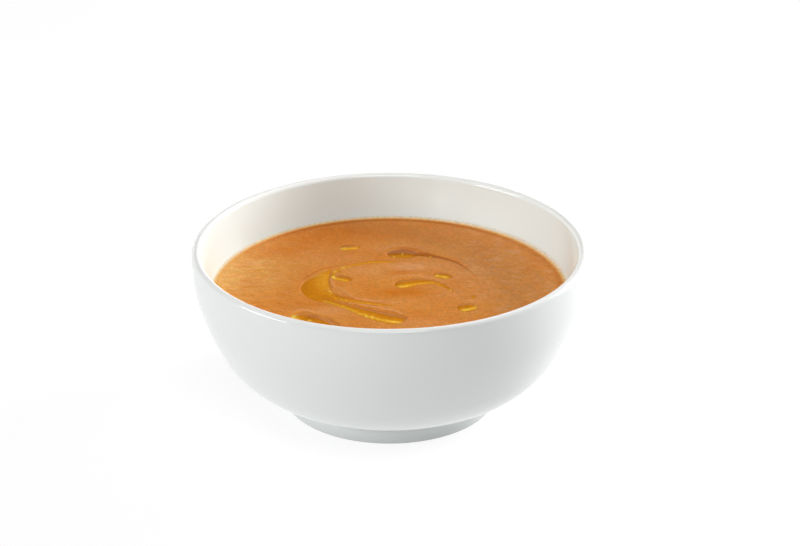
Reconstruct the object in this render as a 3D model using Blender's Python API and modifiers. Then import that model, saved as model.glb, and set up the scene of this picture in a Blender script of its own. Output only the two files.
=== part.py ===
"""Bowl of salmorejo: a turned porcelain bowl on a foot ring, nearly full of thick chilled tomato soup.
A spoon has swirled the soup, and olive oil lies in the hollows that it left.

Metres, +Z up. The origin is the middle of the foot ring's underside, and the bowl's axis is Z.
"""

import math

import bmesh
import bpy
from mathutils import Matrix, Vector
from mathutils.geometry import interpolate_bezier

MM = 0.001
MERGE = 0.000001  # metres within which two points are one

# The bowl, in millimetres.
BOWL_RADIUS = 75.0
BOWL_HEIGHT = 63.6
LIP_RADIUS = 1.7  # the rim is rounded right over, so it is twice this thick
FOOT_RADIUS = 41.4
FOOT_WIDTH = 4.9
FOOT_EDGE = 0.9  # rounding of the ring's edges
RECESS_DEPTH = 3.8
FLOOR_HEIGHT = 11.5

# Knots of a turned wall: radius, height, heading in degrees, and reach of the curve before and after.
OUTER_WALL = (
    (FOOT_RADIUS + 0.2, 5.4, 90.0, 0.0, 1.9),
    (45.2, 8.6, 16.0, 2.4, 5.5),
    (66.4, 26.7, 64.8, 12.4, 20.0),
    (BOWL_RADIUS, BOWL_HEIGHT - LIP_RADIUS, 90.0, 9.9, 0.0),
)
INNER_WALL = (
    (30.0, FLOOR_HEIGHT, 0.0, 0.0, 18.0),
    (62.1, 28.7, 64.8, 12.4, 14.1),
    (BOWL_RADIUS - 2 * LIP_RADIUS, BOWL_HEIGHT - LIP_RADIUS, 83.0, 9.9, 0.0),
)

# Flats of the turned surfaces. Soup and wall have the same ones, so that they stay parallel.
TURN_STEPS = 72
WALL_STEPS = 6  # between two knots
LIP_STEPS = 6
EDGE_STEPS = 2

# The soup and the oil, in millimetres.
SOUP_LEVEL = 45.7
GAP = 0.3  # clearance between the soup and the wall that holds it
BANK = 2.0  # how far a hollow reaches past the oil that lies in it
HOLLOW_DEPTH = 0.7
OIL_DEPTH = 2.0  # the oil's straight flanks go down past the bottom of every hollow
BEYOND = 0.5  # share of a lens's half-height on the far side of the soup's level
SHOWN = math.sqrt(1.0 - BEYOND**2)  # share of its half-width that then shows
STROKE_STEPS = 3  # between two knots
SECTION_STEPS = 4

# Single drops of oil: x, y, half-length, half-width, turn in degrees, height above the soup.
OIL_DROPS = {
    "back_drop": (-16.2, 37.8, 4.3, 2.6, 12.0, 0.45),
    "groove_drop": (4.8, 31.6, 5.4, 3.2, -5.0, 0.2),
    "inner_drop": (-18.4, 8.3, 4.1, 2.6, -25.0, 0.45),
    "right_drop": (20.4, 11.0, 3.9, 2.6, -22.0, 0.45),
    "front_drop": (29.0, -17.5, 4.0, 3.5, 35.0, 0.5),
    "speck": (31.6, -8.2, 1.2, 1.5, 0.0, 0.25),
    "comma_head": (5.9, 3.3, 4.4, 3.8, 25.0, 0.5),
    "tail_head": (0.9, -27.6, 4.8, 3.8, -13.0, 0.5),
    "front_head": (-33.0, -26.4, 4.2, 4.0, -28.0, 0.5),
}

# Oil that the spoon drew out: height above the soup, then x, y and half-width along the middle.
# A blunt start lies inside a drop or the pool.
OIL_STROKES = {
    "thread": (0.3, ((1.0, 23.0, 0.2), (-7.0, 23.4, 0.8), (-13.5, 21.5, 0.9), (-19.0, 17.9, 0.9),
                     (-21.9, 13.0, 0.9), (-21.8, 9.5, 0.6))),
    "pool": (0.3, ((-23.4, 17.4, 0.4), (-26.4, 12.4, 2.7), (-28.4, 5.0, 4.7), (-28.5, -2.0, 5.8),
                   (-25.0, -8.5, 4.6), (-20.5, -12.8, 1.6))),
    "upper_tail": (0.3, ((-25.5, -3.0, 1.8), (-18.5, -9.3, 1.8), (-12.0, -12.9, 1.3), (-2.5, -15.7, 0.2))),
    "lower_tail": (0.45, ((-24.0, -10.8, 1.6), (-17.0, -16.2, 1.8), (-11.5, -20.2, 2.5), (-6.0, -23.8, 3.4),
                          (0.0, -27.0, 3.6))),
    "comma": (0.45, ((6.5, 3.6, 3.3), (10.5, 5.3, 2.9), (14.5, 6.0, 1.8), (18.0, 4.3, 1.4),
                    (21.0, 1.0, 0.9), (23.8, -4.0, 0.2))),
    "front_pool": (0.45, ((-32.5, -26.8, 3.6), (-28.0, -30.0, 3.9), (-23.5, -34.2, 3.0), (-16.0, -40.5, 0.3))),
}

# Groove of the spoon's tip, with hardly any oil in it: depth, then as above.
GROOVE = (0.8, ((5.0, 32.8, 3.9), (10.0, 32.6, 3.0), (15.0, 30.8, 1.9), (20.0, 28.2, 1.4), (25.5, 23.8, 1.1),
                (29.5, 18.2, 0.8), (32.4, 12.0, 0.6), (33.6, 6.0, 0.2)))


def clear_scene():
    for obj in list(bpy.data.objects):
        bpy.data.objects.remove(obj, do_unlink=True)


def new_collection(name):
    collection = bpy.data.collections.new(name)
    bpy.context.scene.collection.children.link(collection)
    return collection


def new_object(name, data, collection):
    obj = bpy.data.objects.new(name, data)
    collection.objects.link(obj)
    return obj


def plain_material(name, colour, roughness):
    material = bpy.data.materials.new(name)
    material.use_nodes = True
    shader = material.node_tree.nodes["Principled BSDF"]
    shader.inputs["Base Color"].default_value = (*colour, 1.0)
    shader.inputs["Roughness"].default_value = roughness
    shader.inputs["Metallic"].default_value = 0.0
    return material


def evaluated_mesh(obj):
    graph = bpy.context.evaluated_depsgraph_get()
    return bpy.data.meshes.new_from_object(obj.evaluated_get(graph))


def edit_mesh(obj, change):
    bm = bmesh.new()
    bm.from_mesh(obj.data)
    change(bm)
    bm.to_mesh(obj.data)
    bm.free()


def weld(bm):
    bmesh.ops.remove_doubles(bm, verts=bm.verts, dist=MERGE)
    bmesh.ops.recalc_face_normals(bm, faces=bm.faces)


def heading(degrees):
    angle = math.radians(degrees)
    return Vector((math.cos(angle), math.sin(angle)))


def wall_points(knots):
    """Points of a smooth wall through its knots, from the bottom up, as (radius, height)."""
    points = []
    for (r0, z0, way0, _, reach0), (r1, z1, way1, reach1, _) in zip(knots, knots[1:]):
        start = Vector((r0, z0))
        end = Vector((r1, z1))
        leave = start + heading(way0) * reach0
        arrive = end - heading(way1) * reach1
        points.extend(interpolate_bezier(start, leave, arrive, end, WALL_STEPS + 1)[:-1])
    return [*points, end]


def arc(centre, radius, start, end, steps):
    turn = (end - start) / steps
    return [Vector(centre) + heading(start + turn * i) * radius for i in range(steps + 1)]


def moved_inward(points, gap):
    """The same wall, moved away from its material by the gap."""
    moved = []
    for i, point in enumerate(points):
        before = points[max(i - 1, 0)]
        after = points[min(i + 1, len(points) - 1)]
        along = (after - before).normalized()
        moved.append(point + Vector((-along.y, along.x)) * gap)
    return moved


def turned_object(name, profile, collection):
    """A profile in millimetres, turned about Z by a Screw modifier."""
    obj = new_object(name, bpy.data.meshes.new(name), collection)

    def draw(bm):
        verts = [bm.verts.new((radius * MM, 0.0, height * MM)) for radius, height in profile]
        for a, b in zip(verts, verts[1:]):
            bm.edges.new((a, b))

    edit_mesh(obj, draw)
    screw = obj.modifiers.new("turn", "SCREW")
    screw.axis = "Z"
    screw.steps = TURN_STEPS
    screw.render_steps = TURN_STEPS
    screw.use_merge_vertices = True
    screw.merge_threshold = MERGE
    screw.use_smooth_shade = True
    return obj


def bowl_profile():
    """From the middle of the floor, up the inside, over the lip, down the outside and under the foot."""
    lip_middle = (BOWL_RADIUS - LIP_RADIUS, BOWL_HEIGHT - LIP_RADIUS)
    foot_inner = FOOT_RADIUS - FOOT_WIDTH
    outer_edge = (FOOT_RADIUS - FOOT_EDGE, FOOT_EDGE)
    inner_edge = (foot_inner + FOOT_EDGE, FOOT_EDGE)
    recess_edge = (foot_inner - FOOT_EDGE, RECESS_DEPTH - FOOT_EDGE)
    return [
        Vector((0.0, FLOOR_HEIGHT)),
        *wall_points(INNER_WALL)[:-1],
        *arc(lip_middle, LIP_RADIUS, 180.0, 0.0, LIP_STEPS),
        *reversed(wall_points(OUTER_WALL)[:-1]),
        *arc(outer_edge, FOOT_EDGE, 0.0, -90.0, EDGE_STEPS),
        *arc(inner_edge, FOOT_EDGE, -90.0, -180.0, EDGE_STEPS),
        *arc(recess_edge, FOOT_EDGE, 0.0, 90.0, EDGE_STEPS),
        Vector((0.0, RECESS_DEPTH)),
    ]


def make_bowl(collection, material):
    bowl = turned_object("bowl", bowl_profile(), collection)
    bowl.data.materials.append(material)


def soup_profile():
    """From the edge of the level top, down beside the wall to the middle of the floor."""
    beside_wall = moved_inward(wall_points(INNER_WALL), GAP)
    below = [point for point in beside_wall if point.y < SOUP_LEVEL]
    above = beside_wall[len(below)]
    share = (SOUP_LEVEL - below[-1].y) / (above.y - below[-1].y)
    edge = below[-1].lerp(above, share)
    return [edge, *reversed(below), Vector((0.0, FLOOR_HEIGHT + GAP))]


def close_top(bm):
    rim = [edge for edge in bm.edges if edge.is_boundary]
    bmesh.ops.holes_fill(bm, edges=rim, sides=0)
    weld(bm)


def stroke_lens(name, points, widen, height, side, collection):
    """A long lens: a tapering tube along a stroke, flattened until it shows or sinks by the height.

    side is 1 for a lens that stands above the soup's level, and -1 for one that presses into it.
    """
    curve = bpy.data.curves.new(name, "CURVE")
    curve.dimensions = "3D"
    curve.bevel_depth = MM
    curve.bevel_resolution = SECTION_STEPS
    curve.resolution_u = STROKE_STEPS
    curve.use_fill_caps = True
    spline = curve.splines.new("BEZIER")
    spline.bezier_points.add(len(points) - 1)
    for knot, (x, y, half_width) in zip(spline.bezier_points, points):
        knot.radius = (half_width + min(widen, half_width)) / SHOWN
        knot.co = (x * MM, y * MM, -side * BEYOND * knot.radius * MM)
        knot.handle_left_type = "AUTO"
        knot.handle_right_type = "AUTO"
    widest = max(knot.radius for knot in spline.bezier_points)
    flatness = height / (1.0 - BEYOND) / widest
    tube = new_object(name, curve, collection)
    bpy.context.view_layer.update()
    mesh = evaluated_mesh(tube)
    bpy.data.objects.remove(tube, do_unlink=True)
    mesh.transform(Matrix.Diagonal((1.0, 1.0, flatness, 1.0)))
    mesh.transform(Matrix.Translation((0.0, 0.0, SOUP_LEVEL * MM)))
    lens = new_object(name, mesh, collection)
    edit_mesh(lens, weld)
    return lens


def drop_lens(name, drop, widen, height, side, collection):
    """A single oval lens, which shows or sinks as a stroke's does."""
    x, y, half_length, half_width, turn, _ = drop
    half_height = height / (1.0 - BEYOND)
    middle = SOUP_LEVEL - side * BEYOND * half_height
    lens = new_object(name, bpy.data.meshes.new(name), collection)
    edit_mesh(lens, lambda bm: bmesh.ops.create_uvsphere(bm, u_segments=18, v_segments=8, radius=MM))
    size = Matrix.Diagonal(((half_length + widen) / SHOWN, (half_width + widen) / SHOWN, half_height, 1.0))
    turned = Matrix.Rotation(math.radians(turn), 4, "Z")
    place = Matrix.Translation((x * MM, y * MM, middle * MM))
    lens.data.transform(place @ turned @ size)
    return lens


def drop_flanks(bm):
    """Straight flanks below a lens's widest line, so that the soup is never undercut beside it."""
    bm.normal_update()
    for vert in [vert for vert in bm.verts if vert.normal.z < -0.1]:
        vert.co.z -= OIL_DEPTH * MM


def make_hollows(collection):
    for name, (_, points) in OIL_STROKES.items():
        stroke_lens(name, points, BANK, HOLLOW_DEPTH, -1, collection)
    for name, drop in OIL_DROPS.items():
        drop_lens(name, drop, BANK, HOLLOW_DEPTH, -1, collection)
    depth, points = GROOVE
    stroke_lens("groove", points, 0.0, depth, -1, collection)


def make_oil(collection):
    for name, (height, points) in OIL_STROKES.items():
        edit_mesh(stroke_lens(name, points, 0.0, height, 1, collection), drop_flanks)
    for name, drop in OIL_DROPS.items():
        edit_mesh(drop_lens(name, drop, 0.0, drop[-1], 1, collection), drop_flanks)


def combine(obj, collection, operation):
    """One Boolean with all of a collection, applied, after which the collection goes."""
    boolean = obj.modifiers.new(operation.lower(), "BOOLEAN")
    boolean.operation = operation
    boolean.operand_type = "COLLECTION"
    boolean.collection = collection
    boolean.solver = "EXACT"
    mesh = evaluated_mesh(obj)
    obj.modifiers.clear()
    obj.data = mesh
    for lens in list(collection.objects):
        bpy.data.objects.remove(lens, do_unlink=True)
    bpy.data.collections.remove(collection)


def make_salmorejo(collection, material):
    soup = turned_object("salmorejo", soup_profile(), collection)
    mesh = evaluated_mesh(soup)
    soup.modifiers.clear()
    soup.data = mesh
    edit_mesh(soup, close_top)
    hollows = new_collection("hollows")
    make_hollows(hollows)
    combine(soup, hollows, "DIFFERENCE")
    oil = new_collection("oil")
    make_oil(oil)
    combine(soup, oil, "UNION")
    soup.data.materials.clear()
    soup.data.materials.append(material)
    soup.data.shade_smooth()
    soup.data.set_sharp_from_angle(angle=math.radians(15.0))


clear_scene()
parts = new_collection("bowl_of_salmorejo")
make_bowl(parts, plain_material("porcelain", (0.80, 0.81, 0.79), 0.12))
make_salmorejo(parts, plain_material("salmorejo", (0.56, 0.19, 0.035), 0.35))
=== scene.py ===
"""Looks of the bowl of salmorejo, in the order in which the dish is made and served.

Every piece is drawn in millimetres, with the bowl's foot on z = 0, and is scaled to metres when it is done.
"""

import math

import bmesh
import bpy
import numpy as np
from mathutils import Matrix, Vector, noise
from mathutils.geometry import interpolate_bezier


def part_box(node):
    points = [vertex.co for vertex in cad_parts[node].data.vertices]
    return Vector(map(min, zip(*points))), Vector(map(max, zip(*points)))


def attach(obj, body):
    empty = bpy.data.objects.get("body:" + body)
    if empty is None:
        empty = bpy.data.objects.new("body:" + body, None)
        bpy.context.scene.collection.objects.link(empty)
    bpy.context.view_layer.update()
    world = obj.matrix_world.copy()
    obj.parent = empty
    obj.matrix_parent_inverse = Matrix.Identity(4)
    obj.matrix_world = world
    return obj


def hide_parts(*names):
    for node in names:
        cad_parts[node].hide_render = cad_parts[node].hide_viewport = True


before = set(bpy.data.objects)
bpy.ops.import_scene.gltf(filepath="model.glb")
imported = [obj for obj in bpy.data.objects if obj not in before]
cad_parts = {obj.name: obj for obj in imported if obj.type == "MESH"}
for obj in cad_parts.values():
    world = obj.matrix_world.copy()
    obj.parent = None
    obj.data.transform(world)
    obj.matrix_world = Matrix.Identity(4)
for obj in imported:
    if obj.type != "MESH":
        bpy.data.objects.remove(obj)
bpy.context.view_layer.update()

# ---- The bowl ------------------------------------------------------------------------------------------
# One turned piece of white porcelain on a foot ring. It is shaped on a wheel, dipped in clear glaze, and
# fired standing on the ring, whose underside is wiped bare first and so stays matt.

MM = 0.001  # a millimetre, in metres
FULL_TURN = 2.0 * math.pi
MERGE = 0.001  # millimetres within which two points are one

bowl_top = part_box("bowl")[1] / MM
bowl_radius = bowl_top.x
bowl_height = bowl_top.z
LIP_RADIUS = 1.7  # the rim is rounded right over, so it is twice this thick
FOOT_RADIUS = 41.4
FOOT_WIDTH = 4.9
FOOT_EDGE = 0.9
RECESS_DEPTH = 3.8
FLOOR_HEIGHT = 11.5

# Knots of a turned wall: radius, height, heading in degrees, and reach of the curve before and after.
OUTER_WALL = (
    (FOOT_RADIUS + 0.2, 5.4, 90.0, 0.0, 1.9),
    (45.2, 8.6, 16.0, 2.4, 5.5),
    (66.4, 26.7, 64.8, 12.4, 20.0),
    (bowl_radius, bowl_height - LIP_RADIUS, 90.0, 9.9, 0.0),
)
INNER_WALL = (
    (30.0, FLOOR_HEIGHT, 0.0, 0.0, 18.0),
    (62.1, 28.7, 64.8, 12.4, 14.1),
    (bowl_radius - 2.0 * LIP_RADIUS, bowl_height - LIP_RADIUS, 83.0, 9.9, 0.0),
)
WALL_STEPS = 22  # between two knots
LIP_STEPS = 12
EDGE_STEPS = 5
BOWL_TURN_STEPS = 300

WHITE_GLAZE = (0.615, 0.638, 0.636, 1.0)
THIN_GLAZE = (0.625, 0.638, 0.628, 1.0)
# Low on the wall and over the foot the white is darkened and greyed as painted shade, darkest just above the
# foot. Each height is a share of the first number, and comes with the tone that the white is multiplied by.
LOW_WALL_SHADE_UP_TO = 16.0  # millimetres
LOW_WALL_SHADE = (
    (0.05, (0.86, 0.88, 0.88, 1.0)),
    (0.28, (0.98, 0.995, 0.995, 1.0)),
    (0.50, (0.80, 0.81, 0.81, 1.0)),
    (0.60, (0.71, 0.72, 0.72, 1.0)),
    (0.72, (0.82, 0.83, 0.83, 1.0)),
    (0.82, (0.94, 0.95, 0.95, 1.0)),
    (0.95, (1.0, 1.0, 1.0, 1.0)),
)
INSIDE_LIT_GLAZE = (0.76, 0.84, 0.83, 1.0)  # the inside, painted lighter as if lit from overhead, and a touch cooler against the orange light from the soup
# Painted light on the lip's upward faces, as if lit from above.
LIP_HIGHLIGHT = (0.90, 0.90, 0.88, 1.0)
LIP_BELOW_TOP = 3.0  # millimetres down to which a surface counts as the lip
# The lip's painted highlight is full up to the first of these, and gone at the second, in millimetres past
# its middle.
LIP_HIGHLIGHT_FULL_TO = 0.34
LIP_HIGHLIGHT_GONE_AT = 1.7
# Bare porcelain, darkened as a painted contact shadow at the foot's bottom edge.
BARE_SHADOWED_PORCELAIN = (0.44, 0.44, 0.43, 1.0)
BARE_BELOW = 0.6  # millimetres
GLAZED_ROUGHNESS = 0.11
BARE_ROUGHNESS = 0.75


def heading(degrees):
    angle = math.radians(degrees)
    return Vector((math.cos(angle), math.sin(angle)))


def wall_points(knots):
    """Points of a smooth wall through its knots, from the bottom up, as (radius, height)."""
    points = []
    for (r0, z0, way0, _, reach0), (r1, z1, way1, reach1, _) in zip(knots, knots[1:]):
        start = Vector((r0, z0))
        end = Vector((r1, z1))
        leave = start + heading(way0) * reach0
        arrive = end - heading(way1) * reach1
        points.extend(interpolate_bezier(start, leave, arrive, end, WALL_STEPS + 1)[:-1])
    return [*points, end]


def rounded_edge(centre, radius, start, end, steps):
    turn = (end - start) / steps
    return [Vector(centre) + heading(start + turn * i) * radius for i in range(steps + 1)]


def turned(profile, steps):
    """A bmesh of a profile turned about the bowl's axis: a grid wrapped round, and merged where it meets."""
    bm = bmesh.new()
    bmesh.ops.create_grid(bm, x_segments=steps, y_segments=len(profile) - 1, size=1.0)
    for index, vert in enumerate(bm.verts):
        point = profile[index // (steps + 1)]
        turn = FULL_TURN * (index % (steps + 1)) / steps
        vert.co = (point.x * math.cos(turn), point.x * math.sin(turn), point.y)
    bmesh.ops.remove_doubles(bm, verts=bm.verts, dist=MERGE)
    bmesh.ops.recalc_face_normals(bm, faces=bm.faces)
    return bm


def finished_piece(name, bm, material):
    """The bmesh as a smooth object in metres, placed in its mesh."""
    bmesh.ops.scale(bm, vec=(MM, MM, MM), verts=bm.verts)
    mesh = bpy.data.meshes.new(name)
    bm.to_mesh(mesh)
    bm.free()
    mesh.shade_smooth()
    mesh.materials.append(material)
    piece = bpy.data.objects.new(name, mesh)
    bpy.context.scene.collection.objects.link(piece)
    return piece


class Finish:
    """A material in the making: its shader, and the kinds of node that the finishes here are mixed from."""

    def __init__(self, name):
        self.material = bpy.data.materials.new(name)
        self.material.use_nodes = True
        self.shader = self.material.node_tree.nodes["Principled BSDF"]
        coords = self.add("ShaderNodeTexCoord")
        self.place = coords.outputs["Object"]
        self.facing = coords.outputs["Normal"]

    def add(self, kind, **settings):
        node = self.material.node_tree.nodes.new(kind)
        for name, value in settings.items():
            setattr(node, name, value)
        return node

    def feed(self, socket, value):
        """Links the socket to another one, or sets it to a constant."""
        if isinstance(value, bpy.types.NodeSocket):
            self.material.node_tree.links.new(value, socket)
        else:
            socket.default_value = value

    def filled(self, node, **values):
        """The node with its named inputs fed. An underscore stands for a space."""
        for name, value in values.items():
            self.feed(node.inputs[name.replace("_", " ")], value)
        return node

    def clouds(self, scale, detail, roughness=0.5):
        """Soft noise in the piece's own space."""
        node = self.add("ShaderNodeTexNoise")
        self.filled(node, Vector=self.place, Scale=scale, Detail=detail, Roughness=roughness)
        return node.outputs["Fac"]

    def painted(self, attribute):
        """A share that the mesh carries at each of its points."""
        return self.add("ShaderNodeAttribute", attribute_name=attribute).outputs["Fac"]

    def spread(self, value, start, end, low=0.0, high=1.0, curve="LINEAR"):
        """The value, stretched so that start becomes low and end becomes high."""
        node = self.add("ShaderNodeMapRange", interpolation_type=curve)
        self.filled(node, Value=value, From_Min=start, From_Max=end, To_Min=low, To_Max=high)
        return node.outputs["Result"]

    def worked_out(self, operation, first, second):
        node = self.add("ShaderNodeMath", operation=operation)
        self.feed(node.inputs[0], first)
        self.feed(node.inputs[1], second)
        return node.outputs["Value"]

    def along(self, vector):
        """The vector's outputs X, Y and Z."""
        return self.filled(self.add("ShaderNodeSeparateXYZ"), Vector=vector).outputs

    def vectors(self, operation, first, second=None):
        """The outputs Vector and Value of a vector operation."""
        node = self.add("ShaderNodeVectorMath", operation=operation)
        self.feed(node.inputs[0], first)
        if second is not None:
            self.feed(node.inputs["Scale" if operation == "SCALE" else 1], second)
        return node.outputs

    def mixed(self, share, first, second, blend="MIX"):
        node = self.add("ShaderNodeMix", data_type="RGBA", blend_type=blend)
        for place, value in ((0, share), (6, first), (7, second)):
            self.feed(node.inputs[place], value)
        return node.outputs[2]

    def ramp(self, value, stops):
        """A colour for each value, blended between stops of a value and its colour."""
        node = self.filled(self.add("ShaderNodeValToRGB"), Fac=value)
        elements = node.color_ramp.elements
        elements[0].position, elements[0].color = stops[0]
        elements[1].position, elements[1].color = stops[-1]
        for position, colour in stops[1:-1]:
            elements.new(position).color = colour
        return node.outputs["Color"]

    def bumped(self, height, strength, distance):
        """A node that makes the height a bump. Its Normal takes a coarser bump below it."""
        node = self.add("ShaderNodeBump")
        return self.filled(node, Height=height, Strength=strength, Distance=distance)


def glazed_porcelain():
    finish = Finish("glazed_porcelain")
    height = finish.along(finish.place)["Z"]
    # Two whites, where the clear glaze ran a little thinner or thicker, and painted shade low on the wall
    # and over the foot.
    white = finish.mixed(finish.clouds(22.0, 2.0), WHITE_GLAZE, THIN_GLAZE)
    tone = finish.ramp(finish.spread(height, 0.0, LOW_WALL_SHADE_UP_TO * MM), LOW_WALL_SHADE)
    outside = finish.mixed(1.0, white, tone, "MULTIPLY")
    # The inside is where the surface faces the bowl's axis.
    flat = finish.vectors("MULTIPLY", finish.place, (1.0, 1.0, 0.0))["Vector"]
    from_axis = finish.vectors("NORMALIZE", flat)["Vector"]
    outward = finish.vectors("DOT_PRODUCT", from_axis, finish.facing)["Value"]
    glaze = finish.mixed(finish.spread(outward, 0.2, -0.6), outside, INSIDE_LIT_GLAZE)
    # The lip's upward faces are painted whitest, as painted light from above, and less so towards its outer
    # edge.
    upward = finish.spread(finish.along(finish.facing)["Z"], 0.25, 0.90, curve="SMOOTHSTEP")
    high_up = finish.worked_out("GREATER_THAN", height, (bowl_height - LIP_BELOW_TOP) * MM)
    lip_radius = bowl_radius - LIP_RADIUS
    radius = finish.vectors("LENGTH", flat)["Value"]
    inner = finish.spread(radius, (lip_radius + LIP_HIGHLIGHT_GONE_AT) * MM, (lip_radius + LIP_HIGHLIGHT_FULL_TO) * MM)
    lip = finish.worked_out("MULTIPLY", finish.worked_out("MULTIPLY", upward, high_up), inner)
    glaze = finish.mixed(lip, glaze, LIP_HIGHLIGHT)
    # The underside of the foot ring is bare and matt, and painted dark as a contact shadow on the table.
    bare = finish.worked_out("LESS_THAN", height, BARE_BELOW * MM)
    finish.feed(finish.shader.inputs["Base Color"], finish.mixed(bare, glaze, BARE_SHADOWED_PORCELAIN))
    rough = finish.spread(bare, 0.0, 1.0, GLAZED_ROUGHNESS, BARE_ROUGHNESS)
    finish.feed(finish.shader.inputs["Roughness"], rough)
    finish.shader.inputs["IOR"].default_value = 1.5
    # Glaze is never quite flat: long soft waves, and the skin of an orange peel much finer.
    soft = finish.bumped(finish.clouds(60.0, 1.0), 0.18, 0.0004)
    fine = finish.bumped(finish.clouds(900.0, 2.0), 0.08, 0.00003)
    finish.feed(fine.inputs["Normal"], soft.outputs["Normal"])
    finish.feed(finish.shader.inputs["Normal"], fine.outputs["Normal"])
    return finish.material


lip_middle = (bowl_radius - LIP_RADIUS, bowl_height - LIP_RADIUS)
foot_inside = FOOT_RADIUS - FOOT_WIDTH
bowl_profile = [
    Vector((0.0, FLOOR_HEIGHT)),
    *wall_points(INNER_WALL)[:-1],
    *rounded_edge(lip_middle, LIP_RADIUS, 180.0, 0.0, LIP_STEPS),
    *reversed(wall_points(OUTER_WALL)[:-1]),
    *rounded_edge((FOOT_RADIUS - FOOT_EDGE, FOOT_EDGE), FOOT_EDGE, 0.0, -90.0, EDGE_STEPS),
    *rounded_edge((foot_inside + FOOT_EDGE, FOOT_EDGE), FOOT_EDGE, -90.0, -180.0, EDGE_STEPS),
    *rounded_edge((foot_inside - FOOT_EDGE, RECESS_DEPTH - FOOT_EDGE), FOOT_EDGE, 0.0, 90.0, EDGE_STEPS),
    Vector((0.0, RECESS_DEPTH)),
]
bowl = finished_piece("glazed_bowl", turned(bowl_profile, BOWL_TURN_STEPS), glazed_porcelain())
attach(bowl, "root")
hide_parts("bowl")

# ---- The salmorejo -------------------------------------------------------------------------------------
# A thick cold soup of tomato, bread, garlic and oil, blended smooth. It is poured in nearly to the brim, and
# its top keeps what the spoon left: shallow hollows that the oil settled in, and low ridges beside them.

TALLEST_OIL = 0.5  # over the soup's level, in millimetres
soup_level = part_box("salmorejo")[1].z / MM - TALLEST_OIL
WALL_GAP = 0.3  # between the soup and the wall below the top
FILM_HEIGHT = 1.6  # a film of soup clings this high to the wall at the right
LOW_FILM = 0.80  # and elsewhere to this share of that
FILM_RISES = (10.0, 55.0)  # x between which it rises to the full height
FILM_CURVE = 0.50  # how far in from the wall the film has sunk to about a third
FILM_REACH = 2.6  # how far in from the wall the film's colour goes
STILL_EDGE = 1.0  # no ripple comes closer to the wall than about this
# Painted shade darkens a line along the wall just inside the film, all but at the left and less at the
# right:
# how far in from the wall it starts, is full, starts to fade and is gone.
WALL_SHADE = (1.8, 2.7, 3.4, 5.4)
WALL_SHADE_STARTS = (-60.0, -35.0)  # x between which that line comes up
WALL_SHADE_FADES = (20.0, 58.0)  # and x between which it falls back to a half
RIPPLE_SHEEN_STARTS = (18.0, 42.0)  # x between which the painted sheen on the ripples at the right comes up
WALL_OVERLAP = 0.04  # the film's edge reaches this far into the wall, so that no gap shows
TUCK = (0.7, 0.3)  # and goes on inside it by this much, outwards and up
SWIRL_RADIUS = 46.0  # the rings are closer out to here, where the swirl is
SWIRL_RINGS = 138
OUTER_RINGS = 44
CROWDING = 1.8  # the outer rings draw together towards the wall
UNDERSIDE_BELOW = 1.0  # the soup's hidden flank starts this far below its level
UNDERSIDE_STRIDE = 6  # and takes fewer of the wall's points
SOUP_TURN_STEPS = 480

# Oil that the spoon drew out: depth of its hollow, height over the soup, reach of the slope behind it, then
# x, y and half-width along its middle.
OIL_STROKES = {
    "thread": (0.15, 0.10, 0.3, ((2.6, 23.4, 0.3), (-1.4, 23.9, 0.9), (-5.0, 24.0, 1.2), (-10.0, 22.8, 1.1),
                                 (-15.0, 20.6, 0.9), (-18.6, 18.0, 0.7), (-20.8, 15.5, 0.7),
                                 (-22.0, 12.0, 0.7), (-21.9, 9.2, 0.8))),
    "spur": (0.12, 0.10, 0.2, ((-20.2, 15.6, 0.3), (-19.6, 14.2, 0.5), (-18.3, 13.0, 0.2))),
    "pool": (0.28, 0.04, 0.7, ((-23.6, 15.8, 0.8), (-25.8, 11.8, 2.5), (-27.9, 6.0, 4.4), (-28.4, -1.0, 5.6),
                               (-26.0, -7.3, 5.0), (-21.5, -11.3, 2.2))),
    "upper_tail": (0.20, 0.08, 0.4, ((-24.5, -3.5, 1.8), (-18.5, -9.6, 1.5), (-12.0, -12.8, 1.3),
                                     (-5.0, -14.8, 0.9), (1.0, -16.4, 0.3))),
    "lower_tail": (0.35, 0.12, 1.6, ((-24.5, -11.0, 1.7), (-18.6, -15.1, 1.7), (-13.2, -18.9, 2.3),
                                     (-7.5, -22.7, 3.4), (-2.5, -25.8, 4.1), (1.0, -27.6, 4.0))),
    "comma": (0.28, 0.14, 0.6, ((6.5, 3.7, 3.5), (10.5, 5.1, 3.2), (14.5, 5.3, 2.4), (17.8, 4.4, 1.5),
                                (20.6, 1.8, 1.1), (22.8, -1.4, 0.7), (24.2, -3.8, 0.4))),
    "front_pool": (0.40, 0.16, 1.4, ((-32.5, -26.6, 3.8), (-28.0, -29.2, 4.3), (-23.5, -32.8, 3.6),
                                     (-16.0, -40.0, 0.3))),
    "groove_thread": (0.45, -0.20, 0.3, ((6.0, 31.6, 2.0), (9.0, 31.4, 1.5), (12.5, 30.4, 0.8),
                                         (16.5, 29.2, 0.3))),
}
# Single drops: x, y, half-length, half-width, turn in degrees, then the three measures above.
OIL_DROPS = {
    "back_drop": (-16.2, 37.9, 4.4, 2.7, 10.0, 0.16, 0.16, 0.3),
    "groove_drop": (4.8, 32.0, 6.0, 4.1, -4.0, 0.45, -0.10, 2.5),
    "inner_drop": (-18.4, 8.2, 4.1, 2.5, -25.0, 0.18, 0.16, 0.4),
    "right_drop": (20.5, 10.9, 3.9, 2.7, -22.0, 0.16, 0.16, 0.3),
    "front_drop": (29.2, -17.7, 4.0, 3.6, 30.0, 0.18, 0.18, 0.5),
    "speck": (31.8, -8.2, 1.0, 1.5, 0.0, 0.10, 0.08, 0.2),
    "comma_head": (6.0, 3.4, 4.3, 3.8, 25.0, 0.28, 0.18, 0.6),
    "tail_head": (0.9, -27.6, 4.9, 4.1, -14.0, 0.35, 0.15, 1.6),
    "front_head": (-32.9, -26.2, 3.8, 3.8, -35.0, 0.40, 0.20, 1.0),
}
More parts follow.
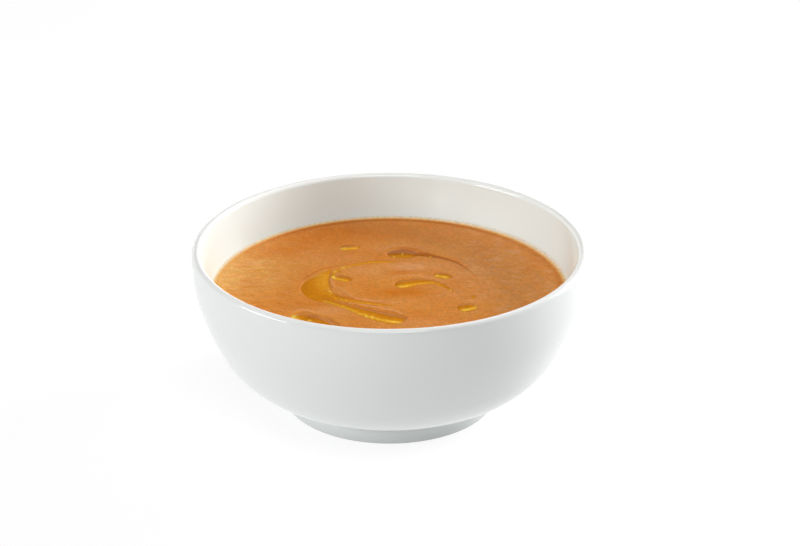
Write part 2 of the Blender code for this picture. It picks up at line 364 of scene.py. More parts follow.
# Strokes of the spoon with hardly any oil in them: depth, reach of the slope behind, how dark the painted
# shade in the seam at the bottom is, then as above.
SPOON_MARKS = (
    (0.35, 1.0, 0.8, ((8.0, 32.4, 1.0), (11.5, 31.5, 1.6), (15.0, 30.3, 1.8), (18.5, 28.8, 1.4),
                      (22.0, 26.9, 1.0), (26.0, 23.6, 0.7), (29.5, 18.6, 0.5), (32.4, 12.3, 0.25),
                      (33.6, 6.0, 0.12))),
    (0.25, 0.3, 0.6, ((-16.0, 21.3, 0.2), (-20.0, 20.0, 0.4), (-23.5, 18.4, 0.5), (-27.0, 16.0, 0.5),
                      (-29.8, 13.0, 0.5), (-31.8, 10.0, 0.5), (-33.2, 7.0, 0.4), (-34.6, 3.5, 0.2))),
    (0.18, 0.3, 0.5, ((-21.0, 1.0, 0.1), (-19.3, -3.0, 0.4), (-16.6, -6.8, 0.4), (-13.5, -9.5, 0.2))),
)
# Low ridges that the spoon pushed up: height, then x, y and half-width along the crest.
RIDGES = (
    (0.14, ((-23.0, 9.5, 0.2), (-22.3, 5.0, 0.5), (-21.2, 0.5, 0.5), (-19.2, -3.5, 0.5), (-16.2, -7.2, 0.6),
            (-12.0, -10.2, 0.6), (-6.0, -12.3, 0.6), (1.0, -13.6, 0.5), (8.0, -12.8, 0.3),
            (14.0, -9.5, 0.1))),
    (0.10, ((-20.0, 1.5, 0.1), (-18.6, -1.6, 0.4), (-16.4, -4.8, 0.4), (-13.6, -7.6, 0.2))),
    (0.14, ((-17.5, -13.4, 0.2), (-12.0, -15.2, 0.5), (-6.0, -17.6, 0.6), (0.0, -20.2, 0.6),
            (4.5, -23.4, 0.5), (7.2, -27.2, 0.2))),
    (0.12, ((-0.5, 5.5, 0.2), (2.5, 9.4, 0.5), (8.0, 10.8, 0.7), (14.0, 9.6, 0.6), (18.2, 6.9, 0.5),
            (21.2, 3.6, 0.4), (24.0, -0.4, 0.2))),
    (0.16, ((-36.6, -22.6, 0.3), (-34.0, -21.0, 0.5), (-30.6, -20.9, 0.6), (-27.4, -23.4, 0.6),
            (-24.4, -26.8, 0.6), (-21.6, -30.2, 0.5), (-18.6, -34.2, 0.3))),
    (0.12, ((25.6, -13.6, 0.2), (28.4, -12.1, 0.7), (31.6, -12.3, 0.7), (33.6, -14.2, 0.2))),
    (0.08, ((16.8, 14.2, 0.1), (20.0, 14.9, 0.4), (24.0, 13.4, 0.2))),
    (0.10, ((-34.6, 0.0, 0.1), (-33.6, 4.6, 0.4), (-30.8, 9.4, 0.6), (-27.6, 13.6, 0.6),
            (-24.4, 16.6, 0.3))),
    (0.10, ((24.0, 27.6, 0.1), (28.6, 22.6, 0.4), (32.4, 15.6, 0.5), (35.0, 7.6, 0.5), (35.2, 0.0, 0.3))),
    (0.08, ((30.6, -5.4, 0.2), (32.4, -5.8, 0.6), (34.4, -7.4, 0.2))),
    (0.08, ((-3.0, 33.0, 0.1), (-1.5, 36.8, 0.4), (4.0, 39.3, 0.5), (11.0, 36.8, 0.4), (17.0, 31.8, 0.2))),
)
# Places where the colour is deeper, where oil has soaked in and as painted shade at the back: x, y,
# half-length, half-width and share.
SOAKED_AND_SHADED = ((-32.0, 47.0, 20.0, 13.0, 0.7), (-20.0, 54.0, 22.0, 9.0, 0.9), (6.0, -4.6, 13.0, 3.8, 0.9),
          (5.4, 14.4, 6.0, 2.8, 0.8), (-15.2, -9.3, 4.6, 1.7, 0.8), (-6.0, -6.2, 8.0, 2.6, 0.5),
          (0.0, 24.2, 6.5, 1.5, 0.7), (-30.0, -16.0, 9.0, 3.0, 0.4), (-44.0, 34.0, 9.0, 6.0, 0.9),
          (4.0, 59.0, 26.0, 6.0, 0.5))
# Places painted paler and yellower at the left, as painted light where more light falls.
PAINTED_LIGHT_PATCHES = ((-66.0, 12.0, 12.0, 26.0, 1.0), (-53.0, 15.0, 13.0, 20.0, 0.6))
# Places painted pinker and paler, as painted sheen of the white walls.
SHEEN_PATCHES = ((9.0, 19.5, 12.0, 4.2, 0.8), (-9.0, 15.0, 8.0, 4.5, 0.4), (30.0, 14.0, 16.0, 14.0, 0.35),
         (24.0, -5.0, 9.0, 7.0, 0.3), (-22.0, 27.0, 12.0, 5.0, 0.3), (12.0, -31.0, 14.0, 4.0, 0.3),
         (46.0, -4.0, 16.0, 14.0, 0.3), (-23.0, -20.5, 9.0, 3.6, 0.4), (2.0, 37.0, 10.0, 4.0, 0.3),
         (-52.0, 5.0, 12.0, 2.6, 0.2), (-56.0, 22.0, 9.0, 2.0, 0.4))
# Banks of the hollows that hardly see the light.
DULL = ((6.5, 36.0, 5.0, 2.2, 1.0), (12.5, 33.2, 3.0, 1.4, 0.6), (5.6, -27.0, 1.4, 2.2, 0.5),
        (-24.0, -28.5, 3.0, 1.4, 0.4), (-3.0, -21.4, 6.0, 0.9, 0.3))

# Soft blotches, from a deeper to a lighter orange.
SOUP_BLOTCHES = ((0.32, (0.680, 0.220, 0.026, 1.0)), (0.66, (0.725, 0.277, 0.050, 1.0)))
# Soaked-in oil and painted shade at the back deepen the colour, painted light and painted sheen lighten it,
# banks that hardly see the light are duller, and painted shade in the creases is the deepest.
SOUP_TONES = (
    ("soaked_and_shaded", (0.64, 0.173, 0.001, 1.0)),
    ("pale", (0.76, 0.378, 0.090, 1.0)),
    ("pink_sheen", (0.76, 0.345, 0.130, 1.0)),
    ("dull", (0.55, 0.160, 0.038, 1.0)),
    ("crease_shade", (0.42, 0.088, 0.003, 1.0)),
)
# The film on the wall thins out until the glaze shows.
FILM_COLOURS = (
    (0.10, (0.76, 0.35, 0.080, 1.0)),
    (0.62, (0.77, 0.52, 0.24, 1.0)),
    (0.97, (0.72, 0.67, 0.58, 1.0)),
)
BREAD = (0.82, 0.44, 0.16, 1.0)

STROKE_STEPS = 12  # between two knots
REACH = 6.0  # no stroke or drop changes the soup further out than this
FAR_AWAY = 99.0  # stands for any place past that reach
NEAR_SLOPE = 0.3  # the slope on a hollow's near side, as a share of that behind it
FULL_STROKE = 1.2  # half-width from which a stroke of oil has its full depth and height
THINNEST = 0.2  # and the share that it keeps where it is thinnest
FULL_MARK = 0.7  # half-width from which a spoon mark has its full depth
MARK_BED = 0.6  # share of a spoon mark's half-width over which its slopes start
SEAM_SOFTNESS = 0.4
FULL_RIDGE = 0.4  # half-width from which a ridge has its full height
RIDGE_STARTS = 0.5  # a ridge rises from this far inside its edge
RIDGE_SOFTNESS = 0.4
NO_RIDGE_IN = 0.2  # depth of a hollow in which no ridge shows
EVEN_IN = 0.125  # depth of a hollow in which the soup is quite even
STILL_FROM = (60.0, 68.0)  # radii between which the soup's unevenness dies out towards the wall
# Unevenness: height, wavelength and seed.
ROLLING = ((0.11, 17.0, 3.1), (0.05, 7.0, 8.4))
GRAIN = ((0.026, 0.9, 1.3), (0.018, 0.45, 2.9))
RIPPLE_HEIGHT = 0.24
RIPPLES_START = (20.0, 42.0)  # how far to either side they come up


def drawn_out(knots):
    """A smooth line through the knots of a stroke, as an array of x, y and half-width."""
    knots = np.array(knots)
    before = np.vstack((2.0 * knots[0] - knots[1], knots[:-1]))
    after = np.vstack((knots[1:], 2.0 * knots[-1] - knots[-2]))
    slopes = (after - before) / 2.0
    line = []
    for start, end, leave, arrive in zip(knots, knots[1:], slopes, slopes[1:]):
        for share in np.arange(STROKE_STEPS) / STROKE_STEPS:
            line.append((2 * share**3 - 3 * share**2 + 1) * start + (share**3 - 2 * share**2 + share) * leave
                        + (3 * share**2 - 2 * share**3) * end + (share**3 - share**2) * arrive)
    return np.array([*line, knots[-1]])


def from_stroke(knots, x, y):
    """For each place, how far past the stroke's edge it is, the half-width there, and how far behind."""
    past = np.full(x.shape, FAR_AWAY)
    width = np.full(x.shape, 1.0)
    behind = np.zeros(x.shape)
    line = drawn_out(knots)
    low = line.min(axis=0) - REACH
    high = line.max(axis=0) + REACH
    near = (x > low[0]) & (x < high[0]) & (y > low[1]) & (y < high[1])
    start = line[:-1, :, None]
    run = (line[1:] - line[:-1])[:, :, None]
    away_x = x[near] - start[:, 0]
    away_y = y[near] - start[:, 1]
    share = np.clip((away_x * run[:, 0] + away_y * run[:, 1]) / (run[:, 0] ** 2 + run[:, 1] ** 2), 0.0, 1.0)
    away_x = away_x - share * run[:, 0]
    away_y = away_y - share * run[:, 1]
    distance = np.hypot(away_x, away_y)
    half = start[:, 2] + share * run[:, 2]
    closest = ((distance - half).argmin(axis=0), np.arange(distance.shape[1]))
    past[near] = (distance - half)[closest]
    width[near] = half[closest]
    behind[near] = (away_y / np.maximum(distance, 0.01))[closest]
    return past, np.maximum(width, 0.05), behind


def from_drop(drop, x, y):
    """The same for a drop."""
    middle_x, middle_y, half_length, half_width, turn = drop[:5]
    away_x = x - middle_x
    away_y = y - middle_y
    turn = math.radians(turn)
    u = (away_x * math.cos(turn) + away_y * math.sin(turn)) / half_length
    v = (away_y * math.cos(turn) - away_x * math.sin(turn)) / half_width
    away = np.hypot(u, v)
    return (away - 1.0) * half_width, np.full(x.shape, half_width), v / np.maximum(away, 0.01)


def from_oil(name, x, y):
    """For each place, the three measures above, the hollow's depth, the oil's height and the slope."""
    if name in OIL_DROPS:
        depth, rise, slope = OIL_DROPS[name][5:]
        past, width, behind = from_drop(OIL_DROPS[name], x, y)
        return past, width, behind, np.full(x.shape, depth), rise, slope
    depth, rise, slope, knots = OIL_STROKES[name]
    past, width, behind = from_stroke(knots, x, y)
    fullness = np.clip(width / FULL_STROKE, THINNEST, 1.0)
    return past, width, behind, depth * fullness, rise * fullness, slope


def eased(value, start, end):
    share = np.clip((value - start) / (end - start), 0.0, 1.0)
    return share * share * (3.0 - 2.0 * share)


def waves(x, y, wavelength, seed):
    """Soft rolling unevenness between about -1 and 1."""
    return np.array([noise.noise(Vector((a / wavelength, b / wavelength, seed))) for a, b in zip(x, y)])


def uneven(layers, x, y):
    return sum(height * waves(x, y, wavelength, seed) for height, wavelength, seed in layers)


def bank(slope, behind):
    """Reach of the slope round a hollow, short on its near side."""
    return slope * (NEAR_SLOPE + (1.0 - NEAR_SLOPE) * eased(behind, -0.1, 0.8))


def soup_relief(x, y):
    """Height of the soup's top over its level, and how much each place is a seam and a ridge, for painted
    shade and sheen.
    """
    hollow = np.zeros(x.shape)
    seam = np.zeros(x.shape)
    ridge = np.zeros(x.shape)
    ridge_height = np.zeros(x.shape)
    for name in (*OIL_STROKES, *OIL_DROPS):
        past, _, behind, depth, _, slope = from_oil(name, x, y)
        hollow = np.maximum(hollow, depth * (1.0 - eased(past, 0.0, bank(slope, behind))))
    for depth, slope, darkness, knots in SPOON_MARKS:
        past, width, behind = from_stroke(knots, x, y)
        full = np.clip(width / FULL_MARK, 0.0, 1.0)
        sloping = eased(past, -MARK_BED * width, bank(slope, behind))
        hollow = np.maximum(hollow, depth * full * (1.0 - sloping))
        seam = np.maximum(seam, darkness * full * (1.0 - eased(past, -SEAM_SOFTNESS, SEAM_SOFTNESS)))
    for height, knots in RIDGES:
        past, width, _ = from_stroke(knots, x, y)
        share = (1.0 - eased(past, -RIDGE_STARTS, RIDGE_SOFTNESS)) * np.clip(width / FULL_RIDGE, 0.0, 1.0)
        ridge = np.maximum(ridge, share)
        ridge_height = np.maximum(ridge_height, height * share)
    ridge = ridge * (1.0 - np.clip(hollow / NO_RIDGE_IN, 0.0, 1.0))
    rough = (1.0 - eased(np.hypot(x, y), *STILL_FROM)) * (1.0 - np.clip(hollow / EVEN_IN, 0.0, 1.0))
    # Short ripples, drawn out across the bowl, where the soup was poured in and settled.
    ripples = RIPPLE_HEIGHT * waves(x * 0.45 + y * 0.25, y * 0.7, 2.0, 5.7)
    ripples *= eased(np.abs(x), *RIPPLES_START)
    relief = ridge_height - hollow + rough * (uneven(ROLLING, x, y) + ripples) + uneven(GRAIN, x, y)
    return relief, seam, ridge


def spot(x, y, middle_x, middle_y, half_length, half_width):
    """A soft share, full in the middle of the spot."""
    return np.exp(-(((x - middle_x) / half_length) ** 2) - ((y - middle_y) / half_width) ** 2)


def patched(patches, x, y):
    """Soft share of the patches, broken up a little."""
    share = np.zeros(x.shape)
    for *place, full in patches:
        share = np.maximum(share, full * spot(x, y, *place))
    return np.clip(share * (1.0 + 0.6 * waves(x, y, 3.5, 6.6)), 0.0, 1.0)


def salmorejo():
    finish = Finish("salmorejo")
    colour = finish.ramp(finish.clouds(75.0, 4.0, 0.6), SOUP_BLOTCHES)
    for name, tone in SOUP_TONES:
        colour = finish.mixed(finish.painted(name), colour, tone)
    film = finish.painted("film")
    colour = finish.mixed(finish.spread(film, 0.02, 0.40), colour, finish.ramp(film, FILM_COLOURS))
    # Fine pulp, a shade lighter and darker.
    pulp = finish.clouds(950.0, 3.0, 0.65)
    colour = finish.vectors("SCALE", colour, finish.spread(pulp, 0.30, 0.70, 0.84, 1.16))["Vector"]
    # A few pale crumbs of bread.
    crumbs = finish.filled(finish.add("ShaderNodeTexVoronoi"), Vector=finish.place, Scale=210.0)
    crumb = finish.spread(crumbs.outputs["Distance"], 0.14, 0.05, 0.0, 0.5)
    finish.feed(finish.shader.inputs["Base Color"], finish.mixed(crumb, colour, BREAD))
    finish.shader.inputs["Roughness"].default_value = 0.42
    finish.shader.inputs["Specular IOR Level"].default_value = 0.12
    finish.shader.inputs["Subsurface Weight"].default_value = 0.20
    finish.shader.inputs["Subsurface Radius"].default_value = (1.0, 0.35, 0.10)
    finish.shader.inputs["Subsurface Scale"].default_value = 0.0012
    skin = finish.bumped(pulp, 0.6, 0.00010)
    finish.feed(finish.shader.inputs["Normal"], skin.outputs["Normal"])
    return finish.material


def wall_radius_at(height):
    points = wall_points(INNER_WALL)
    return float(np.interp(height, [point.y for point in points], [point.x for point in points]))


edge_radius = wall_radius_at(soup_level + FILM_HEIGHT) + WALL_OVERLAP
below = [point for point in wall_points(INNER_WALL) if point.y < soup_level - UNDERSIDE_BELOW]
radii = [SWIRL_RADIUS * ring / SWIRL_RINGS for ring in range(SWIRL_RINGS)]
radii += [edge_radius - (edge_radius - SWIRL_RADIUS) * (1.0 - ring / OUTER_RINGS) ** CROWDING
          for ring in range(OUTER_RINGS + 1)]
soup_profile = [Vector((radius, soup_level)) for radius in radii]
soup_profile.append(Vector((edge_radius, soup_level + FILM_HEIGHT)) + Vector(TUCK))
soup_profile += [Vector((point.x - WALL_GAP, point.y + WALL_GAP)) for point in below[::-UNDERSIDE_STRIDE]]
soup_profile.append(Vector((0.0, FLOOR_HEIGHT + WALL_GAP)))
soup_bm = turned(soup_profile, SOUP_TURN_STEPS)
layer_names = [name for name, _ in SOUP_TONES] + ["film"]
layers = [soup_bm.verts.layers.float.new(name) for name in layer_names]
top = [vert for vert in soup_bm.verts if abs(vert.co.z - soup_level) < MERGE]
top_x = np.array([vert.co.x for vert in top])
top_y = np.array([vert.co.y for vert in top])
from_edge = edge_radius - np.hypot(top_x, top_y)
relief, seams, ridges = soup_relief(top_x, top_y)
film_height = FILM_HEIGHT * (LOW_FILM + (1.0 - LOW_FILM) * eased(top_x, *FILM_RISES))
relief = relief * eased(from_edge, 0.0, STILL_EDGE) + film_height * np.exp(-from_edge / FILM_CURVE)
film = 1.0 - eased(from_edge, 0.0, FILM_REACH)
wall_shade = eased(from_edge, *WALL_SHADE[:2]) * (1.0 - eased(from_edge, *WALL_SHADE[2:]))
wall_shade *= eased(top_x, *WALL_SHADE_STARTS) * (1.0 - 0.5 * eased(top_x, *WALL_SHADE_FADES))
# The painted light lies in streaks, and so does the painted sheen on the ripples at the right.
lit_streaks = patched(PAINTED_LIGHT_PATCHES, top_x, top_y) * np.clip(1.0 + 0.9 * waves(top_x * 0.5, top_y, 2.2, 9.1), 0.0, 1.4)
ripple_sheen = 0.9 * np.clip(waves(top_x * 0.4 + top_y * 0.2, top_y * 0.9, 1.8, 5.7), 0.0, 1.0)
ripple_sheen *= eased(top_x, *RIPPLE_SHEEN_STARTS)
soaked_and_shaded = np.maximum(patched(SOAKED_AND_SHADED, top_x, top_y), 0.8 * wall_shade)
# Painted sheen on the ridges' crests, on the patches and on the ripples at the right.
pink_sheen = np.maximum(0.7 * ridges, np.clip(patched(SHEEN_PATCHES, top_x, top_y) + ripple_sheen, 0.0, 1.0))
dull = patched(DULL, top_x, top_y)
crease_shade = np.maximum(seams, 0.4 * wall_shade)
for vert, rise, *values in zip(top, relief, soaked_and_shaded, lit_streaks, pink_sheen, dull, crease_shade, film):
    vert.co.z += rise
    for layer, value in zip(layers, values):
        vert[layer] = value
soup = finished_piece("salmorejo_soup", soup_bm, salmorejo())
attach(soup, "root")
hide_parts("salmorejo")

# ---- The olive oil -------------------------------------------------------------------------------------
# Extra virgin oil, poured in a thin stream before the spoon went through. It lies in the hollows as low
# lenses, with painted light in a bright band inside the front edge and painted shade at the far side and
# rim.

OIL_SPACING = 0.23  # between the points of the mesh
OIL_SUNK = 1.7  # past its edge a piece of oil is cut off this far below the soup's level
CUT_OFF_WITHIN = 0.02  # and so is what comes this near to that depth
OIL_BOTTOM = 2.0  # the underside is this far below the soup's level
NO_OIL = -9.0  # the height that stands for none
LENS_HEIGHT = 0.45  # of a stroke at most, as a share of its half-width
LENS_POWER = 2.5  # 2 is a round dome, and more is flatter in the middle
# Each piece's parts, each with the strength of its painted bright band, of its painted shade on the far side
# and at the rim.
OIL_PIECES = {
    "oil_pool": {"pool": (0.0, 0.0, 0.10), "upper_tail": (0.45, 0.3, 0.2), "lower_tail": (0.75, 0.75, 0.35),
                 "tail_head": (0.8, 0.8, 0.4)},
    "oil_thread": {"thread": (0.45, 0.3, 0.2), "spur": (0.5, 0.0, 0.0), "inner_drop": (0.9, 0.8, 0.5)},
    "oil_comma": {"comma": (0.45, 0.6, 0.4), "comma_head": (0.85, 0.5, 0.5)},
    "oil_front_pool": {"front_pool": (0.4, 0.8, 0.3), "front_head": (0.6, 0.5, 0.4)},
    "oil_back_drop": {"back_drop": (0.9, 0.8, 0.5)},
    "oil_groove_drop": {"groove_drop": (0.20, 0.95, 0.3), "groove_thread": (0.0, 0.9, 0.8)},
    "oil_right_drop": {"right_drop": (0.9, 0.8, 0.7)},
    "oil_front_drop": {"front_drop": (0.95, 0.5, 0.8)},
    "oil_speck": {"speck": (0.3, 0.3, 0.3)},
}
BAND = (-0.58, 0.20)  # where the bright band lies across a lens, and its width
BAND_ENDS = (0.85, 1.0)  # shares of the way to the edge between which the band fades out
FAR_SIDE = (-0.15, 0.65)  # where the dark far side starts across a lens, and where it is full
RIM_WIDTH = 0.45
# A thin edge shows the soup, and deeper oil is a darker gold.
GOLD = (
    (0.0, (0.66, 0.225, 0.026, 1.0)),
    (0.08, (0.69, 0.240, 0.008, 1.0)),
    (1.0, (0.655, 0.220, 0.008, 1.0)),
)
# Painted shade makes the far side and the rim dark, painted light makes the bright band light, and painted
# glints make a few points glint.
OIL_LIGHTS = (
    ("dark", (0.43, 0.120, 0.003, 1.0)),
    ("light", (0.95, 0.51, 0.045, 1.0)),
    ("glint", (1.0, 0.74, 0.11, 1.0)),
)
GLITTER = (1.0, 0.66, 0.10, 1.0)
# Patches of painted light on the oil or, where the share is below zero, of painted shade: as the soup's
# patches.
OIL_TONES = ((-25.8, 3.5, 3.4, 9.0, 0.24), (-26.6, 11.0, 3.0, 4.0, 0.15), (-32.0, -3.0, 4.0, 7.0, -0.14),
             (-24.0, -9.5, 6.0, 3.0, -0.20), (-19.5, -7.5, 1.6, 2.0, -0.40), (-22.4, -3.0, 1.0, 4.0, 0.45),
             (-29.5, -8.0, 3.0, 1.5, 0.15), (11.5, 31.0, 4.0, 2.0, -0.9), (3.0, 32.4, 5.5, 3.0, -1.0),
             (-29.5, -28.0, 2.5, 2.5, -0.4))
# Painted glints, where a lens throws its brightest points of light: x, y, half-length, half-width and share.
GLINTS = ((-21.9, 9.2, 0.7, 1.2, 1.0), (32.6, -15.6, 0.4, 1.4, 0.7), (-36.0, -25.6, 1.2, 2.2, 1.0),
          (-18.9, 36.8, 1.6, 0.6, 0.5), (-18.4, 18.3, 0.8, 0.8, 0.7), (-21.4, 14.6, 0.6, 1.4, 0.6),
          (1.6, 28.9, 0.4, 0.7, 0.8), (4.9, 31.4, 0.3, 0.9, 0.7), (16.0, 28.6, 0.5, 0.9, 0.5),
          (-8.6, -25.2, 0.5, 0.9, 0.8), (-6.4, -26.4, 0.4, 1.0, 0.7), (2.0, -30.4, 2.4, 0.5, 0.5),
          (4.0, 1.0, 1.4, 0.7, 0.4), (21.6, 9.3, 1.0, 0.6, 0.5), (28.6, -19.9, 2.0, 0.6, 0.5),
          (23.4, -3.0, 0.5, 1.0, 0.5), (-29.6, -29.6, 0.7, 0.7, 0.6), (18.4, 10.9, 0.5, 0.7, 0.6))


def olive_oil():
    finish = Finish("olive_oil")
    colour = finish.ramp(finish.painted("thickness"), GOLD)
    for name, tone in OIL_LIGHTS:
        colour = finish.mixed(finish.painted(name), colour, tone)
    # Painted specks of light glitter in the painted bright bands.
    specks = finish.spread(finish.clouds(1500.0, 1.0), 0.56, 0.68, 0.0, 0.8)
    glitter = finish.worked_out("MULTIPLY", specks, finish.painted("light"))
    colour = finish.mixed(glitter, colour, GLITTER)
    # The soup's pulp shows through, blurred.
    shade = finish.spread(finish.clouds(700.0, 3.0), 0.30, 0.70, 0.88, 1.12)
    finish.feed(finish.shader.inputs["Base Color"], finish.vectors("SCALE", colour, shade)["Vector"])
    finish.shader.inputs["Roughness"].default_value = 0.08
    finish.shader.inputs["IOR"].default_value = 1.47
    finish.shader.inputs["Specular IOR Level"].default_value = 0.10
    return finish.material


def oil_surface(parts, x, y):
    """Height of the oil over the soup's level, sinking on past its edge, and its shares of painted light and
    painted shade.
    """
    surface = np.full(x.shape, NO_OIL)
    light = np.zeros(x.shape)
    dark = np.zeros(x.shape)
    for name, (band, far, rim) in parts.items():
        past, width, behind, depth, rise, _ = from_oil(name, x, y)
        lens = rise + depth if name in OIL_DROPS else np.minimum(rise + depth, LENS_HEIGHT * width)
        share = np.maximum(1.0 + past / width, 0.0)
        height = lens * (1.0 - share**LENS_POWER) - depth
        across = behind * np.minimum(share, 1.0)
        fresh = height > surface
        gathered = band * np.exp(-(((across - BAND[0]) / BAND[1]) ** 2)) * (1.0 - eased(share, *BAND_ENDS))
        light[fresh] = gathered[fresh]
        shaded = np.maximum(far * eased(across, *FAR_SIDE), rim * np.exp(-((past / RIM_WIDTH) ** 2)))
        dark[fresh] = shaded[fresh]
        surface[fresh] = height[fresh]
    tone = np.zeros(x.shape)
    for *place, full in OIL_TONES:
        tone += full * spot(x, y, *place)
    # Fine streaks run through both.
    streaks = 1.0 + 0.5 * waves(x, y, 0.7, 4.2)
    light = np.clip((light + np.maximum(tone, 0.0)) * streaks, 0.0, 1.0)
    dark = np.clip(dark + np.maximum(-tone, 0.0) * streaks, 0.0, 1.0)
    return surface, light, dark


def oil_reach(names):
    """Lowest and highest corner of the oil in plan."""
    spots = []
    for name in names:
        if name in OIL_DROPS:
            spots.append(OIL_DROPS[name][:3])
        else:
            spots.extend(drawn_out(OIL_STROKES[name][3]))
    spots = np.array(spots)
    margin = 4.0 * OIL_SPACING
    low = (spots[:, :2] - spots[:, 2:]).min(axis=0) - margin
    high = (spots[:, :2] + spots[:, 2:]).max(axis=0) + margin
    return low, high


def oil_piece(name, parts, material):
    low, high = oil_reach(parts)
    size = high - low
    bm = bmesh.new()
    steps_x, steps_y = (size / OIL_SPACING).astype(int).tolist()
    bmesh.ops.create_grid(bm, x_segments=steps_x, y_segments=steps_y, size=0.5)
    bmesh.ops.scale(bm, vec=(size[0], size[1], 1.0), verts=bm.verts)
    bmesh.ops.translate(bm, vec=(*(low + high) / 2.0, soup_level), verts=bm.verts)
    layers = [bm.verts.layers.float.new(attribute) for attribute in ("thickness", "light", "dark", "glint")]
    verts = list(bm.verts)
    x = np.array([vert.co.x for vert in verts])
    y = np.array([vert.co.y for vert in verts])
    surface, light, dark = oil_surface(parts, x, y)
    thickness = surface - soup_relief(x, y)[0]
    glint = np.zeros(x.shape)
    for *place, full in GLINTS:
        glint = np.maximum(glint, full * spot(x, y, *place))
    shares = np.array((np.clip(thickness, 0.0, 1.0), light, dark, glint))
    for vert, rise, values in zip(verts, surface, shares.T):
        vert.co.z += max(rise, -OIL_SUNK)
        for layer, value in zip(layers, values):
            vert[layer] = value
    sunk = soup_level - OIL_SUNK + CUT_OFF_WITHIN
    outside = [face for face in bm.faces if all(vert.co.z < sunk for vert in face.verts)]
    bmesh.ops.delete(bm, geom=outside, context="FACES")
    under = bmesh.ops.extrude_face_region(bm, geom=bm.faces[:], use_keep_orig=True)
    for vert in [item for item in under["geom"] if isinstance(item, bmesh.types.BMVert)]:
        vert.co.z = soup_level - OIL_BOTTOM
    bmesh.ops.recalc_face_normals(bm, faces=bm.faces)
    return finished_piece(name, bm, material)


oil_material = olive_oil()
for piece_name, parts in OIL_PIECES.items():
    oil = oil_piece(piece_name, parts, oil_material)
    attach(oil, "root")
    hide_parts("salmorejo")

# ---- The table and the studio --------------------------------------------------------------------------
# The bowl stands on a wide white table that is lit from within. A strong softbox stands low to the right and
# somewhat behind, a weaker one low to the left, and one overhead in front. The room is white in front and
# dark behind, where a low white backdrop closes the table.

TABLE_HALF = 3.0
TABLE_WHITE = (0.22, 0.22, 0.22, 1.0)
TABLE_GREYER = (0.20, 0.20, 0.20, 1.0)
TABLE_GLOW = 0.82
LIGHTS_AIM = (0.0, 0.0, 0.04)
LIGHTS_DISTANCE = 1.1
# Softboxes: turn from the right towards the back and elevation in degrees, width, height, and watts.
SOFTBOXES = {
    "right_softbox": (28.0, 16.0, 0.42, 0.55, 15.8),
    "left_softbox": (198.0, 14.0, 0.60, 0.30, 5.8),
    "front_softbox": (270.0, 58.0, 0.60, 0.60, 4.8),
}
ROOM_FRONT = 0.36  # the white room in front of the table
ROOM_BACK = 0.05  # the dark room behind it
BACKDROP = 1.30  # the low white backdrop between them


def white_table():
    finish = Finish("white_table")
    clouded = finish.mixed(finish.clouds(3.0, 2.0), TABLE_WHITE, TABLE_GREYER)
    finish.feed(finish.shader.inputs["Base Color"], clouded)
    finish.shader.inputs["Roughness"].default_value = 0.9
    finish.shader.inputs["Specular IOR Level"].default_value = 0.1
    finish.shader.inputs["Emission Color"].default_value = (1.0, 1.0, 1.0, 1.0)
    finish.shader.inputs["Emission Strength"].default_value = TABLE_GLOW
    return finish.material


table_bm = bmesh.new()
bmesh.ops.create_grid(table_bm, x_segments=8, y_segments=8, size=TABLE_HALF / MM)
table = finished_piece("white_table", table_bm, white_table())


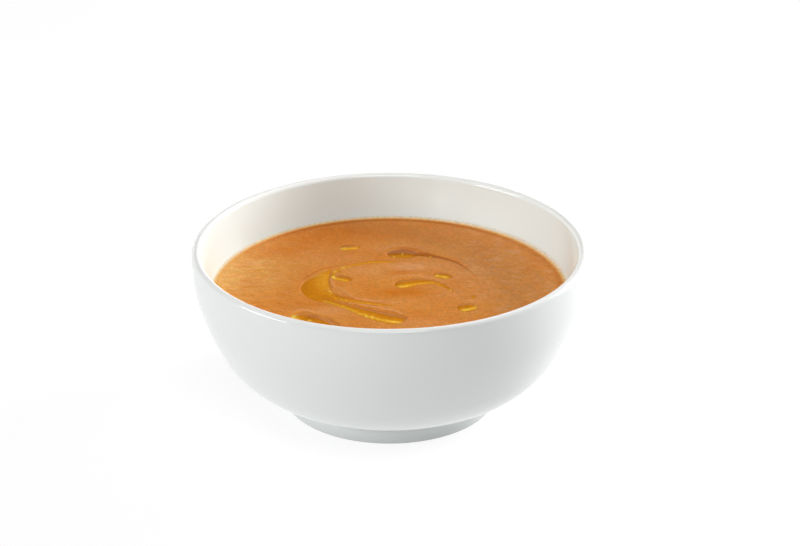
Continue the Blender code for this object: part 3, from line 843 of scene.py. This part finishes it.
def studio_room():
    """The room's light by direction: white in front, dark behind, and a white backdrop low at the back."""
    world = bpy.data.worlds.new("studio_room")
    world.use_nodes = True
    tree = world.node_tree
    way = tree.nodes.new("ShaderNodeSeparateXYZ")
    tree.links.new(tree.nodes.new("ShaderNodeTexCoord").outputs["Generated"], way.inputs["Vector"])

    def graded(axis, start, end, low, high):
        grade = tree.nodes.new("ShaderNodeMapRange")
        grade.interpolation_type = "SMOOTHSTEP"
        tree.links.new(way.outputs[axis], grade.inputs["Value"])
        for name, value in (("From Min", start), ("From Max", end), ("To Min", low), ("To Max", high)):
            grade.inputs[name].default_value = value
        return grade.outputs["Result"]

    backdrop = tree.nodes.new("ShaderNodeMath")
    backdrop.operation = "MULTIPLY"
    tree.links.new(graded("Y", 0.05, 0.35, 0.0, 1.0), backdrop.inputs[0])
    tree.links.new(graded("Z", 0.20, 0.30, BACKDROP, 0.0), backdrop.inputs[1])
    both = tree.nodes.new("ShaderNodeMath")
    tree.links.new(graded("Y", -0.10, 0.35, ROOM_FRONT, ROOM_BACK), both.inputs[0])
    tree.links.new(backdrop.outputs["Value"], both.inputs[1])
    background = tree.nodes["Background"]
    background.inputs["Color"].default_value = (1.0, 1.0, 1.0, 1.0)
    tree.links.new(both.outputs["Value"], background.inputs["Strength"])
    return world


bpy.context.scene.world = studio_room()


def soft_light(name, turn, elevation, width, height, watts):
    light = bpy.data.lights.new(name, "AREA")
    light.shape = "RECTANGLE"
    light.size = width
    light.size_y = height
    light.energy = watts
    lamp = bpy.data.objects.new(name, light)
    bpy.context.scene.collection.objects.link(lamp)
    turn = math.radians(turn)
    elevation = math.radians(elevation)
    level = math.cos(elevation)
    way = Vector((math.cos(turn) * level, math.sin(turn) * level, math.sin(elevation)))
    lamp.location = Vector(LIGHTS_AIM) + way * LIGHTS_DISTANCE
    lamp.rotation_euler = way.to_track_quat("Z", "Y").to_euler()


for light_name, setting in SOFTBOXES.items():
    soft_light(light_name, *setting)

# ---- The camera ----------------------------------------------------------------------------------------
# A long lens on a stand in front of the table, looking down at about 25 degrees on the middle of the bowl.

CAMERA_DISTANCE = 0.8
CAMERA_TILT = math.radians(24.53)
AIM_HEIGHT = 0.0517
AIM_ASIDE = 0.00395
LENS = 94.18

camera_data = bpy.data.cameras.new("camera")
camera_data.lens = LENS
camera_data.sensor_width = 36.0
camera = bpy.data.objects.new("camera", camera_data)
bpy.context.scene.collection.objects.link(camera)
camera.location = (AIM_ASIDE, -CAMERA_DISTANCE * math.cos(CAMERA_TILT),
                   AIM_HEIGHT + CAMERA_DISTANCE * math.sin(CAMERA_TILT))
camera.rotation_euler = (math.pi / 2.0 - CAMERA_TILT, 0.0, 0.0)
bpy.context.scene.camera = camera
bpy.context.scene.view_settings.view_transform = "Standard"
